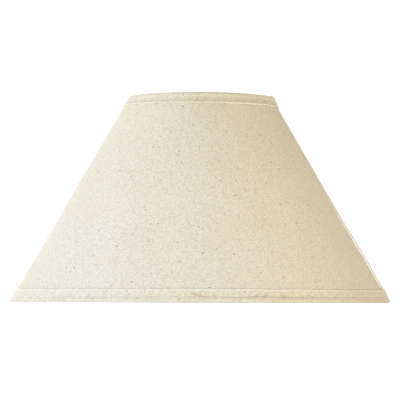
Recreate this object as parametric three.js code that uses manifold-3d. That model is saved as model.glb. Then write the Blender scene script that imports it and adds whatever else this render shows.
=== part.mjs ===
// Empire lamp shade: a cone of linen laminated on styrene, closed by one taped lap seam, with a folded
// linen trim over a wire ring at each rim and a three-armed washer fitter inside the top.
// Millimetres, +Z up. The shade stands on its bottom rim, centred on the origin.
import * as THREE from 'three';
import { mergeVertices } from 'three/addons/utils/BufferGeometryUtils.js';
import Module from 'manifold-3d';

// Driving dimensions
const TOP_RADIUS = 76.2; // 6 in across the top
const BOTTOM_RADIUS = 203.2; // 16 in across the bottom
const SLANT = 254; // 10 in down the side

// The laminated sheet
const LINEN = 0.6;
const STYRENE = 0.4;
const GLUE_LINE = 0.1; // between linen and styrene, and each side of the tape
const TAPE = 0.2;
const TAPE_MARGIN = 3; // from the sheet's cut edges
const SEAM_ANGLE = THREE.MathUtils.degToRad(-12); // where the outer end of the lap lies

// Facets
const TURN_FACETS = 72;
const LAP_FACETS = 1; // the lap is 5 degrees wide, 12 mm halfway down
const RAMP_FACETS = 16; // over which the outer ply comes down from the lap
const SIDE_FACETS = 2;
const WIRE_FACETS = 8;

// Wire rings
const WIRE_RADIUS = 1.5;
const RING_CLEARANCE = 0.3;
const TOP_RING_DISTANCE = 1.95; // from the rim to the wire's centre, measured down the side

// Folded trims
const TRIM = 0.8;
const TRIM_CLEARANCE = 0.2;
const TOP_BAND = 13; // outer flap, measured down the side
const BOTTOM_BAND = 16;
const INNER_FLAP = 7; // past the ring's centre
const TOP_INSET = 1; // from the cone's edge line to the sheet's cut edge
const BOTTOM_INSET = 2.1;
const BUTT_GAP = 0.3; // between the two ends of a trim

// Fitter
const WASHER_RADIUS = 13.5;
const WASHER_HOLE_RADIUS = 5.5; // 7/16 in, clears a lamp's finial stud
const WASHER_THICKNESS = 1.5;
const FITTER_DROP = 12.7; // washer below the top ring, 1/2 in
const ARM_COUNT = 3;
const ARM_GAP = 0.3;
const ARM_SLOT_CLEARANCE = 0.4;

// Worked out from the driving dimensions
const SIN = (BOTTOM_RADIUS - TOP_RADIUS) / SLANT;
const COS = Math.sqrt(1 - SIN * SIN);
const HEIGHT = SLANT * COS;
const LEAN = THREE.MathUtils.radToDeg(Math.asin(SIN)); // of the side from the vertical, in degrees
const SHEET_INSIDE = -(LINEN + GLUE_LINE + STYRENE); // liner's inner face, measured out from the linen's face
const LAP_LIFT = (LINEN + STYRENE + TAPE + 3 * GLUE_LINE) / COS; // horizontal, so that the rims stay level
const RING_DEPTH = SHEET_INSIDE - RING_CLEARANCE - WIRE_RADIUS; // ring's centre, out from the linen's face
const RING_BORE = WIRE_RADIUS + RING_CLEARANCE; // the trim's hollow round a ring
const RING_SLEEVE = RING_BORE + TRIM;
const BOTTOM_RING_DISTANCE = (RING_SLEEVE - RING_DEPTH * SIN) / COS; // the wire stands one sleeve above the floor

// Finishes
const linen = { color: 0xe3dcc8, roughness: 0.95, metalness: 0 };
const styrene = { color: 0xf2efe6, roughness: 0.5, metalness: 0 };
const tape = { color: 0xd9d2bc, roughness: 0.7, metalness: 0 };
const steel = { color: 0xb9bbbd, roughness: 0.4, metalness: 1 };
const brass = { color: 0xc9a55c, roughness: 0.3, metalness: 1 };

// A point of the cone: down is measured along the side from the top edge, out is square to the linen's face.
function onCone(down, out) {
  return {
    radius: TOP_RADIUS + down * SIN + out * COS,
    z: HEIGHT - down * COS + out * SIN,
  };
}

// The angle of a station round the wrapped sheet. Station 0 is the outer end of the lap.
function stationAngle(station) {
  return SEAM_ANGLE + (2 * Math.PI * station) / TURN_FACETS;
}

// How far the outer ply stands off at a station: full over the lap, then gently down to nothing.
function liftAt(station) {
  return LAP_LIFT * THREE.MathUtils.clamp((LAP_FACETS + RAMP_FACETS - station) / RAMP_FACETS, 0, 1);
}

function polar(radius, angle, z) {
  return [radius * Math.cos(angle), radius * Math.sin(angle), z];
}

// Moves every vertex of a geometry to place(x, y, z).
function reshape(geometry, place) {
  const position = geometry.attributes.position;
  for (let i = 0; i < position.count; i += 1) {
    position.setXYZ(i, ...place(position.getX(i), position.getY(i), position.getZ(i)));
  }
  geometry.computeVertexNormals();
  return geometry;
}

function mesh(name, geometry, finish) {
  const made = new THREE.Mesh(geometry, new THREE.MeshStandardMaterial(finish));
  made.name = name;
  return made;
}

// One ply of the sheet from station 0 to an end station, between its inner and its outer face.
function ply({ inner, outer, end, lift, margin }) {
  const box = new THREE.BoxGeometry(1, 1, 1, end, SIDE_FACETS, 1);
  return reshape(box, (x, y, z) => {
    const station = end * (x + 0.5);
    const down = THREE.MathUtils.lerp(SLANT - BOTTOM_INSET - margin, TOP_INSET + margin, y + 0.5);
    const point = onCone(down, z > 0 ? outer : inner);
    return polar(point.radius + lift(station), stationAngle(station), point.z);
  });
}

function linenCover() {
  const sheet = { inner: -LINEN, outer: 0, end: TURN_FACETS + LAP_FACETS, lift: liftAt, margin: 0 };
  return mesh('linen_cover', ply(sheet), linen);
}

function styreneLiner() {
  const outer = -LINEN - GLUE_LINE;
  const sheet = { inner: SHEET_INSIDE, outer, end: TURN_FACETS + LAP_FACETS, lift: liftAt, margin: 0 };
  return mesh('styrene_liner', ply(sheet), styrene);
}

// Double-sided tape between the two plies of the lap.
function lapTape() {
  const outer = GLUE_LINE + TAPE;
  const strip = { inner: GLUE_LINE, outer, end: LAP_FACETS, lift: () => 0, margin: TAPE_MARGIN };
  return mesh('lap_tape', ply(strip), tape);
}

// The two rims. down turns a distance from the rim, along the side, into one from the top edge, and crest is
// the direction, in degrees round the ring, in which the rim's trim runs level over or under the ring.
const topRim = {
  band: TOP_BAND,
  ring: TOP_RING_DISTANCE,
  crest: 180 - LEAN,
  down: (distance) => distance,
};
const bottomRim = {
  band: BOTTOM_BAND,
  ring: BOTTOM_RING_DISTANCE,
  crest: 180 + LEAN,
  down: (distance) => SLANT - distance,
};

// Points round a rim's ring, as (out, distance from the rim), from one direction to another.
function roundRing(rim, radius, fromDegrees, toDegrees) {
  const steps = 3;
  return Array.from({ length: steps + 1 }, (_, i) => {
    const angle = THREE.MathUtils.degToRad(THREE.MathUtils.lerp(fromDegrees, toDegrees, i / steps));
    return [RING_DEPTH + radius * Math.sin(angle), rim.ring + radius * Math.cos(angle)];
  });
}

// A trim's section as (out, distance from the rim): along the outer flap, over the sheet's edge and the ring,
// along the inner flap, and back the same way on the inside.
function hemSection(rim, edgeOutside, edgeInside) {
  const face = TRIM_CLEARANCE;
  const back = SHEET_INSIDE - TRIM_CLEARANCE;
  const tuck = 315; // where the trim leaves the ring for the liner
  const foot = rim.ring + RING_BORE + TRIM;
  const flapEnd = rim.ring + INNER_FLAP;
  return [
    [face + TRIM, rim.band],
    ...edgeOutside,
    ...roundRing(rim, RING_SLEEVE, rim.crest, tuck),
    [back - TRIM, foot + TRIM],
    [back - TRIM, flapEnd],
    [back, flapEnd],
    [back, foot + TRIM / 2],
    ...roundRing(rim, RING_BORE, tuck, rim.crest),
    ...edgeInside,
    [face, rim.band],
  ];
}

// Sweeps a section once round the cone. Points outside the sheet ride over the lap.
function sweepTrim(rim, section) {
  const shape = new THREE.Shape(section.map(([out, distance]) => new THREE.Vector2(out, rim.down(distance))));
  const turn = { depth: TURN_FACETS, steps: TURN_FACETS, bevelEnabled: false };
  return reshape(new THREE.ExtrudeGeometry(shape, turn), (out, down, station) => {
    const { radius, z } = onCone(down, out);
    const lift = out > -LINEN ? liftAt(station) : 0;
    const gap = station === TURN_FACETS ? BUTT_GAP / radius : 0;
    return polar(radius + lift, stationAngle(station) - gap, z);
  });
}

const { Manifold, Mesh: SolidMesh } = await Module().then((wasm) => {
  wasm.setup();
  return wasm;
});

function toSolid(geometry) {
  const bare = geometry.clone();
  bare.deleteAttribute('normal');
  bare.deleteAttribute('uv');
  const merged = mergeVertices(bare, 1e-4);
  return new Manifold(
    new SolidMesh({
      numProp: 3,
      vertProperties: Float32Array.from(merged.attributes.position.array),
      triVerts: Uint32Array.from(merged.index.array),
    }),
  );
}

function toGeometry(solid) {
  const { vertProperties, triVerts } = solid.getMesh();
  const geometry = new THREE.BufferGeometry();
  geometry.setAttribute('position', new THREE.BufferAttribute(vertProperties, 3));
  geometry.setIndex(new THREE.BufferAttribute(triVerts, 1));
  geometry.computeVertexNormals();
  return geometry;
}

const topRing = onCone(TOP_RING_DISTANCE, RING_DEPTH);
const bottomRing = onCone(SLANT - BOTTOM_RING_DISTANCE, RING_DEPTH);
const washerZ = topRing.z - FITTER_DROP;

function armAngle(index) {
  return Math.PI / 2 + (2 * Math.PI * index) / ARM_COUNT;
}

// The slit in the top trim's inner side through which one arm reaches the ring.
function armSlit(index) {
  const width = 2 * (WIRE_RADIUS + ARM_SLOT_CLEARANCE);
  const length = 3 * RING_SLEEVE;
  const slit = new THREE.BoxGeometry(length, width, width + 2 * TRIM);
  slit.translate(topRing.radius - WIRE_RADIUS + ARM_GAP - length / 2, 0, -TRIM);
  slit.rotateZ(armAngle(index));
  return slit.translate(0, 0, topRing.z);
}

function topTrim() {
  const edgeOutside = [[TRIM_CLEARANCE + TRIM, 0.9], [0.3, 0.2]];
  const edgeInside = [[TRIM_CLEARANCE, 0.7]];
  let solid = toSolid(sweepTrim(topRim, hemSection(topRim, edgeOutside, edgeInside)));
  for (let i = 0; i < ARM_COUNT; i += 1) solid = solid.subtract(toSolid(armSlit(i)));
  return mesh('top_trim', toGeometry(solid), linen);
}

// The bottom trim has a flat underside, 4.5 mm wide, on which the shade stands.
function bottomTrim() {
  const edgeOutside = [[TRIM_CLEARANCE + TRIM, 1.4], [-0.26, 0.15]];
  const edgeInside = [[-0.15, 1.13], [TRIM_CLEARANCE, 2]];
  return mesh('bottom_trim', sweepTrim(bottomRim, hemSection(bottomRim, edgeOutside, edgeInside)), linen);
}

// A welded wire hoop.
function ring(name, { radius, z }) {
  const section = Array.from({ length: WIRE_FACETS + 1 }, (_, i) => {
    const angle = (2 * Math.PI * (i % WIRE_FACETS)) / WIRE_FACETS;
    return new THREE.Vector2(radius + WIRE_RADIUS * Math.cos(angle), WIRE_RADIUS * Math.sin(angle));
  });
  const hoop = new THREE.LatheGeometry(section, TURN_FACETS).rotateX(Math.PI / 2).translate(0, 0, z);
  return mesh(name, hoop, steel);
}

function fitterWasher() {
  const half = WASHER_THICKNESS / 2;
  const section = [
    [WASHER_HOLE_RADIUS, -half],
    [WASHER_RADIUS, -half],
    [WASHER_RADIUS, half],
    [WASHER_HOLE_RADIUS, half],
    [WASHER_HOLE_RADIUS, -half],
  ].map(([x, y]) => new THREE.Vector2(x, y));
  const facets = 48;
  const disc = new THREE.LatheGeometry(section, facets).rotateX(Math.PI / 2).translate(0, 0, washerZ);
  return mesh('fitter_washer', disc, brass);
}

// A wire from the washer's rim, up in a long S, to the inside of the top ring.
function spiderArm(index) {
  const angle = armAngle(index);
  const start = WASHER_RADIUS + ARM_GAP;
  const end = topRing.radius - WIRE_RADIUS - ARM_GAP;
  const straight = 6;
  const at = (radius, z) => new THREE.Vector3(...polar(radius, angle, z));
  const route = new THREE.CurvePath();
  const foot = at(start + straight, washerZ);
  const head = at(end - straight, topRing.z);
  const bend = (end - start) / 3;
  route.add(new THREE.LineCurve3(at(start, washerZ), foot));
  route.add(new THREE.CubicBezierCurve3(foot, at(start + bend, washerZ), at(end - bend, topRing.z), head));
  route.add(new THREE.LineCurve3(head, at(end, topRing.z)));
  const section = new THREE.Shape().absarc(0, 0, WIRE_RADIUS, 0, 2 * Math.PI);
  const tube = { extrudePath: route, steps: 18, curveSegments: WIRE_FACETS, bevelEnabled: false };
  return mesh(`spider_arm_${index + 1}`, new THREE.ExtrudeGeometry(section, tube), brass);
}

const shade = new THREE.Group();
shade.add(linenCover(), styreneLiner(), lapTape(), topTrim(), bottomTrim());
shade.add(ring('top_ring', topRing), ring('bottom_ring', bottomRing));
shade.add(fitterWasher(), ...Array.from({ length: ARM_COUNT }, (_, i) => spiderArm(i)));

export default shade;
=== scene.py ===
"""An empire lamp shade: linen laminated on styrene, wrapped once round a cone, with folded linen trims."""

import logging
import math
from dataclasses import dataclass
from enum import Enum

import bpy
import numpy as np
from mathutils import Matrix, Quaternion, Vector

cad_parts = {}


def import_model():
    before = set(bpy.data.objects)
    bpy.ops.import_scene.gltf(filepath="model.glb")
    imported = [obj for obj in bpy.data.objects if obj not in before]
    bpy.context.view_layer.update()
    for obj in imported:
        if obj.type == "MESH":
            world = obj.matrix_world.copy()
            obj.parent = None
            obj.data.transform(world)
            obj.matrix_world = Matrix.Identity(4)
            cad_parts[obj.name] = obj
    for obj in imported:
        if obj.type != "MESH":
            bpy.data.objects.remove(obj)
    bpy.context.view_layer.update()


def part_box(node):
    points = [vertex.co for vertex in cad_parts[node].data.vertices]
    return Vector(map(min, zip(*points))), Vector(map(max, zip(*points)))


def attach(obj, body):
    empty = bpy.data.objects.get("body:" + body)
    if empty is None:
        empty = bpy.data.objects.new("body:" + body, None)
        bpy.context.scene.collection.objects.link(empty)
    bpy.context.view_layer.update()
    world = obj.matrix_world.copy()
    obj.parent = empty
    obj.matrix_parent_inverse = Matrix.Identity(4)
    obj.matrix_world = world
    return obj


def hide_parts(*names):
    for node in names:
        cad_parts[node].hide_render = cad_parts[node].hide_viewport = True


MM = 0.001
BODY = "root"
WIRE = 1.5 * MM  # radius of the wire of the rings and the arms
log = logging.getLogger("shade")

Array = np.ndarray
Material = bpy.types.Material
Node = bpy.types.Node
Piece = bpy.types.Object
Socket = bpy.types.NodeSocket
Step = tuple[float, float]  # where a soft step starts, and how far it takes
Tree = bpy.types.NodeTree
Waves = tuple[tuple[int, float, float], ...]  # count round a ring, height, and phase in radians, of each


# --- Small helpers ---


def linear_rgb(code: str) -> tuple[float, float, float, float]:
    """Turns an sRGB hex colour into linear light.

    Args:
        code: the colour, such as "#E6DDC6".

    Returns:
        Red, green, blue and a full alpha.
    """
    parts = [int(code[i : i + 2], 16) / 255.0 for i in (1, 3, 5)]
    linear = [c / 12.92 if c <= 0.04045 else ((c + 0.055) / 1.055) ** 2.4 for c in parts]
    return (linear[0], linear[1], linear[2], 1.0)


def smooth(t: Array | float) -> Array:
    """Returns a soft step from 0 at t = 0 to 1 at t = 1."""
    t = np.clip(t, 0.0, 1.0)
    return t * t * (3.0 - 2.0 * t)


def rise(x: Array, start: float, reach: float) -> Array:
    """Returns a soft step from 0 at a start to 1 a reach further on."""
    return smooth((x - start) / reach)


def fade(x: Array, start: float, reach: float) -> Array:
    """Returns a soft step from 1 at a start to 0 a reach further on."""
    return 1.0 - rise(x, start, reach)


def hill(x: Array, centre: float, width: float) -> Array:
    """Returns a round hill, 1 at its centre and gone at about two widths."""
    return np.exp(-(((x - centre) / width) ** 2))


def turned(angle: Array) -> Array:
    """Returns angles brought into the half turns on both sides of zero, in radians."""
    return (angle + math.pi) % (2.0 * math.pi) - math.pi


def ring_hill(angle: Array, azimuth: Array | float, width: float) -> Array:
    """Returns a hill on a ring, from angles in radians and the hill's azimuth and width in degrees."""
    return hill(turned(angle - np.radians(azimuth)), 0.0, math.radians(width))


def ripple(angle: Array, waves: Waves) -> Array:
    """Adds up waves that close round a ring.

    Args:
        angle: angles round the ring, in radians.
        waves: the waves.

    Returns:
        The height at each angle.
    """
    total = np.zeros_like(angle)
    for count, height, phase in waves:
        total = total + height * np.sin(count * angle + phase)
    return total


def feed(tree: Tree, node: Node, inputs: dict) -> None:
    """Gives each of a node's inputs, by name or number, its value or another node's output."""
    for key, value in inputs.items():
        if isinstance(value, Socket):
            tree.links.new(value, node.inputs[key])
        else:
            node.inputs[key].default_value = value


def add_node(tree: Tree, kind: str, inputs: dict | None = None, **settings: object) -> Node:
    """Adds one shader node.

    Args:
        tree: the material's or the world's node tree.
        kind: the node's type name.
        inputs: value or output socket for each input, by name or number.
        settings: the node's own properties.

    Returns:
        The new node.
    """
    node = tree.nodes.new(kind)
    for name, value in settings.items():
        setattr(node, name, value)
    feed(tree, node, inputs or {})
    return node


def deselect_all() -> None:
    """Leaves nothing selected."""
    if bpy.context.object and bpy.context.object.mode != "OBJECT":
        bpy.ops.object.mode_set(mode="OBJECT")
    bpy.ops.object.select_all(action="DESELECT")


def make_active(piece: Piece) -> None:
    """Selects one object alone and makes it active."""
    deselect_all()
    piece.select_set(True)
    bpy.context.view_layer.objects.active = piece


def place_in_mesh(piece: Piece) -> None:
    """Moves an object's place into its mesh."""
    make_active(piece)
    bpy.ops.object.transform_apply(location=True, rotation=True, scale=True)


def soften(piece: Piece, degrees: float = 40.0) -> None:
    """Shades a piece smooth, apart from edges sharper than an angle."""
    make_active(piece)
    bpy.ops.object.shade_smooth_by_angle(angle=math.radians(degrees))


def apply_modifiers(piece: Piece) -> None:
    """Applies every modifier of a piece, in order."""
    make_active(piece)
    for name in [modifier.name for modifier in piece.modifiers]:
        bpy.ops.object.modifier_apply(modifier=name)


def dress(piece: Piece, material: Material, slot: str, *nodes: str) -> Piece:
    """Gives a finished piece its material, its body and its place in the frame.

    Args:
        piece: the piece, in place.
        material: its only material.
        slot: the record's material slot; not used.
        nodes: the frame's nodes that it stands for.

    Returns:
        The piece.
    """
    piece.data.materials.clear()
    piece.data.materials.append(material)
    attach(piece, BODY)
    if nodes:
        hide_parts(*nodes)
    return piece


# --- Sheets and sweeps ---


@dataclass
class Sweep:
    """A closed section carried from station to station, as cloth is wrapped round a form.

    Attributes:
        points: stations by section points by 3, in metres.
        flat: the same points on the flat cloth, in metres, with one more station where the sweep
            closes on itself, and always one more section point.
        closed: whether the last station joins the first.
        marks: named weights, stations by section points.
    """

    points: Array
    flat: Array
    closed: bool
    marks: dict[str, Array]

    def faces(self) -> tuple[Array, Array]:
        """Lists the side faces.

        Returns:
            Four vertices a face, and the matching corners on the flat cloth.
        """
        stations, section = self.points.shape[:2]
        spans = stations if self.closed else stations - 1
        i, j = np.indices((spans, section)).reshape(2, -1)
        found = []
        on_mesh = ((i + 1) % stations, (j + 1) % section, section)
        on_cloth = (i + 1, j + 1, section + 1)
        for ahead, across, wide in (on_mesh, on_cloth):
            corners = [i * wide + j, ahead * wide + j, ahead * wide + across, i * wide + across]
            found.append(np.stack(corners, 1))
        return found[0], found[1]

    def caps(self) -> tuple[Array, Array]:
        """Lists the faces that close the two ends of an open sweep, as rungs between its two sides.

        Returns:
            Four vertices a face, and the matching corners on the flat cloth.
        """
        stations, section = self.points.shape[:2]
        j = np.arange(section // 2 - 1)
        back = section - 1 - j
        rungs = np.stack([j, j + 1, back - 1, back], 1)
        vertices, corners = (
            np.concatenate([rungs, (stations - 1) * wide + rungs[:, ::-1]]) for wide in (section, section + 1)
        )
        return vertices, corners

    def build(self, name: str) -> Piece:
        """Makes the mesh, with its faces outward, its flat pattern as the UV map and its marks as attributes.

        Args:
            name: the piece's name.

        Returns:
            The new object.
        """
        faces, corners = self.faces()
        if not self.closed:
            cap_faces, cap_corners = self.caps()
            faces = np.concatenate([faces, cap_faces])
            corners = np.concatenate([corners, cap_corners])
        points = self.points.reshape(-1, 3)
        a, b, c, d = (points[faces[:, k]] for k in range(4))
        volume = np.einsum("ij,ij->", a, np.cross(b, c)) + np.einsum("ij,ij->", a, np.cross(c, d))
        if volume < 0.0:
            faces = faces[:, ::-1]
            corners = corners[:, ::-1]
        data = bpy.data.meshes.new(name)
        data.from_pydata(points.tolist(), [], faces.tolist())
        layer = data.uv_layers.new(name="cloth")
        layer.data.foreach_set("uv", self.flat.reshape(-1, 2)[corners.ravel()].astype(np.float32).ravel())
        for mark, weights in self.marks.items():
            attribute = data.attributes.new(mark, "FLOAT", "POINT")
            attribute.data.foreach_set("value", np.clip(weights, 0.0, 1.0).astype(np.float32).ravel())
        piece = bpy.data.objects.new(name, data)
        bpy.context.scene.collection.objects.link(piece)
        return piece


@dataclass(frozen=True)
class Cone:
    """The linen's outer face, before the lap.

    Attributes:
        top_radius: radius of the top edge line.
        height: height of the top edge line above the floor.
        lean: angle between the side and the axis.
    """

    top_radius: float
    height: float
    lean: float

    @classmethod
    def round_rings(cls, wire: float, face_gap: float, rim_gap: float) -> "Cone":
        """Finds the cone from the two rings inside it.

        Args:
            wire: radius of the rings' wire.
            face_gap: from the line between the rings' centres out to the linen's face.
            rim_gap: from the top edge line down the side to the top ring's centre.

        Returns:
            The cone.
        """
        top, bottom = ring_circle("top_ring", wire), ring_circle("bottom_ring", wire)
        lean = math.atan2(bottom[0] - top[0], top[1] - bottom[1])
        radius = top[0] + face_gap * math.cos(lean) - rim_gap * math.sin(lean)
        height = top[1] + face_gap * math.sin(lean) + rim_gap * math.cos(lean)
        return cls(radius, height, lean)

    @property
    def side(self) -> float:
        """Length of the side from the top edge line to the floor."""
        return self.height / math.cos(self.lean)

    def radius(self, down: Array, out: Array | float = 0.0) -> Array:
        """Radius at a distance down the side and a distance square to it."""
        return self.top_radius + down * math.sin(self.lean) + out * math.cos(self.lean)

    def points(self, down: Array, out: Array, angle: Array) -> Array:
        """Places points on the cone.

        Args:
            down: distances down the side from the top edge line.
            out: distances square to the side, outward.
            angle: azimuths.

        Returns:
            The points, with x, y and z on the last axis.
        """
        radius = self.radius(down, out)
        z = self.height - down * math.cos(self.lean) + out * math.sin(self.lean)
        return np.stack([radius * np.cos(angle), radius * np.sin(angle), z], -1)

    def pattern(self, down: Array, turn: Array) -> Array:
        """Unrolls the cone.

        Args:
            down: distances down the side.
            turn: angles round the cone from the pattern's first straight edge.

        Returns:
            The points on the flat half ring.
        """
        reach = self.radius(down) / math.sin(self.lean)
        fan = turn * math.sin(self.lean)
        return np.stack([reach * np.cos(fan), reach * np.sin(fan)], -1)


def ring_circle(node: str, wire: float) -> tuple[float, float]:
    """Measures a wire ring of the frame.

    Args:
        node: the ring's node.
        wire: radius of its wire.

    Returns:
        Radius and height of the circle along the wire's centre.
    """
    low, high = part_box(node)
    return (high[1] - low[1]) / 2.0 - wire, (high[2] + low[2]) / 2.0


@dataclass(frozen=True)
class Lap:
    """The lapped seam up the side, where the sheet's outer end lies over its inner end.

    Attributes:
        azimuth: where the outer end stops.
        overlap: width of the lap.
        drop: how far past the lap the outer ply takes to come down on the cone.
        lift: how far the outer ply stands off over the lap, square to the side.
        bulge: how far the two plies together stand proud of the cone in the lower half, near the seam.
        bulge_reach: how far along the bulge dies away, past the seam and before it.
        bulge_from: where down the side the bulge comes up.
        bulge_to: where it goes down again, so that the bottom trim holds it in.
        barrel: how far the whole sheet swells in the upper half, where it was bent its tightest.
        barrel_from: where down the side the swelling comes up.
        barrel_to: where it goes down again.
        barrel_reach: how far from the seam the swelling takes to its full height.
    """

    azimuth: float = math.radians(-12.0)
    overlap: float = 11.0 * MM
    drop: float = 42.0 * MM
    lift: float = 1.5 * MM
    bulge: float = 1.5 * MM
    bulge_reach: tuple[float, float] = (110.0 * MM, 50.0 * MM)
    bulge_from: Step = (140.0 * MM, 60.0 * MM)
    bulge_to: Step = (234.0 * MM, 20.0 * MM)
    barrel: float = 0.65 * MM
    barrel_from: Step = (3.0 * MM, 18.0 * MM)
    barrel_to: Step = (100.0 * MM, 60.0 * MM)
    barrel_reach: float = 160.0 * MM

    def along(self, angle: Array, radius: Array) -> Array:
        """Returns the distance round from the seam, past it where positive, nearest way."""
        return turned(angle - self.azimuth) * radius

    def stand_off(self, past: Array) -> Array:
        """Returns how far the outer ply is lifted, at distances past the seam."""
        return self.lift * fade(past, self.overlap, self.drop)

    def belly(self, past: Array, down: Array) -> Array:
        """Finds how far both plies stand proud of the cone.

        Args:
            past: distances past the seam.
            down: distances down the side.

        Returns:
            The height, square to the side.
        """
        ahead, behind = self.bulge_reach
        bulge = np.where(past > 0.0, fade(past, 0.0, ahead), fade(-past, 0.0, behind))
        bulge = bulge * (rise(down, *self.bulge_from) * fade(down, *self.bulge_to))
        barrel = rise(down, *self.barrel_from) * fade(down, *self.barrel_to)
        return self.bulge * bulge + self.barrel * barrel * rise(np.abs(past), 0.0, self.barrel_reach)


# --- Finishes ---


class Paint:
    """A new material and the nodes that paint it.

    Attributes:
        material: the material.
        tree: its node tree.
        shader: its surface shader.
    """

    def __init__(self, name: str) -> None:
        """Starts a material with its plain shader.

        Args:
            name: the material's name.
        """
        self.material: Material = bpy.data.materials.new(name)
        self.material.use_nodes = True
        self.tree: Tree = self.material.node_tree
        self.shader: Node = self.tree.nodes["Principled BSDF"]

    def add(self, kind: str, inputs: dict | None = None, **settings: object) -> Node:
        """Adds one node to the material."""
        return add_node(self.tree, kind, inputs, **settings)

    def math(self, operation: str, *values: Socket | float) -> Socket:
        """Returns a sum on one or two values."""
        return self.add("ShaderNodeMath", dict(enumerate(values)), operation=operation).outputs[0]

    def mix(self, share: Socket | float, first: Socket, second: Socket) -> Socket:
        """Returns a mix of two numbers, all first at 0 and all second at 1."""
        return self.add("ShaderNodeMix", {0: share, 2: first, 3: second}).outputs[0]

    def wash(self, share: Socket, colour: Socket | tuple, tint: str, blend: str = "MIX") -> Socket:
        """Returns a colour with a share of a tint laid over it."""
        inputs = {0: share, 6: colour, 7: linear_rgb(tint)}
        return self.add("ShaderNodeMix", inputs, data_type="RGBA", blend_type=blend).outputs[2]

    def noise(self, place: Socket, scale: float, detail: float, roughness: float = 0.5) -> Socket:
        """Returns a soft noise about a half."""
        inputs = {"Vector": place, "Scale": scale, "Detail": detail, "Roughness": roughness}
        return self.add("ShaderNodeTexNoise", inputs).outputs["Fac"]

    def span(
        self, value: Socket, low: float, high: float, least: float = 0.0, most: float = 1.0, **settings: str
    ) -> Socket:
        """Returns a value carried from one range onto another, and held inside it."""
        inputs = {0: value, 1: low, 2: high, 3: least, 4: most}
        return self.add("ShaderNodeMapRange", inputs, **settings).outputs[0]

    def bump(self, strength: float, distance: float, height: Socket) -> Socket:
        """Returns the surface's direction with a relief on it."""
        inputs = {"Strength": strength, "Distance": distance, "Height": height}
        return self.add("ShaderNodeBump", inputs).outputs["Normal"]

    def finish(self, inputs: dict) -> Material:
        """Gives the shader its inputs and returns the material."""
        feed(self.tree, self.shader, inputs)
        return self.material


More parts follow.
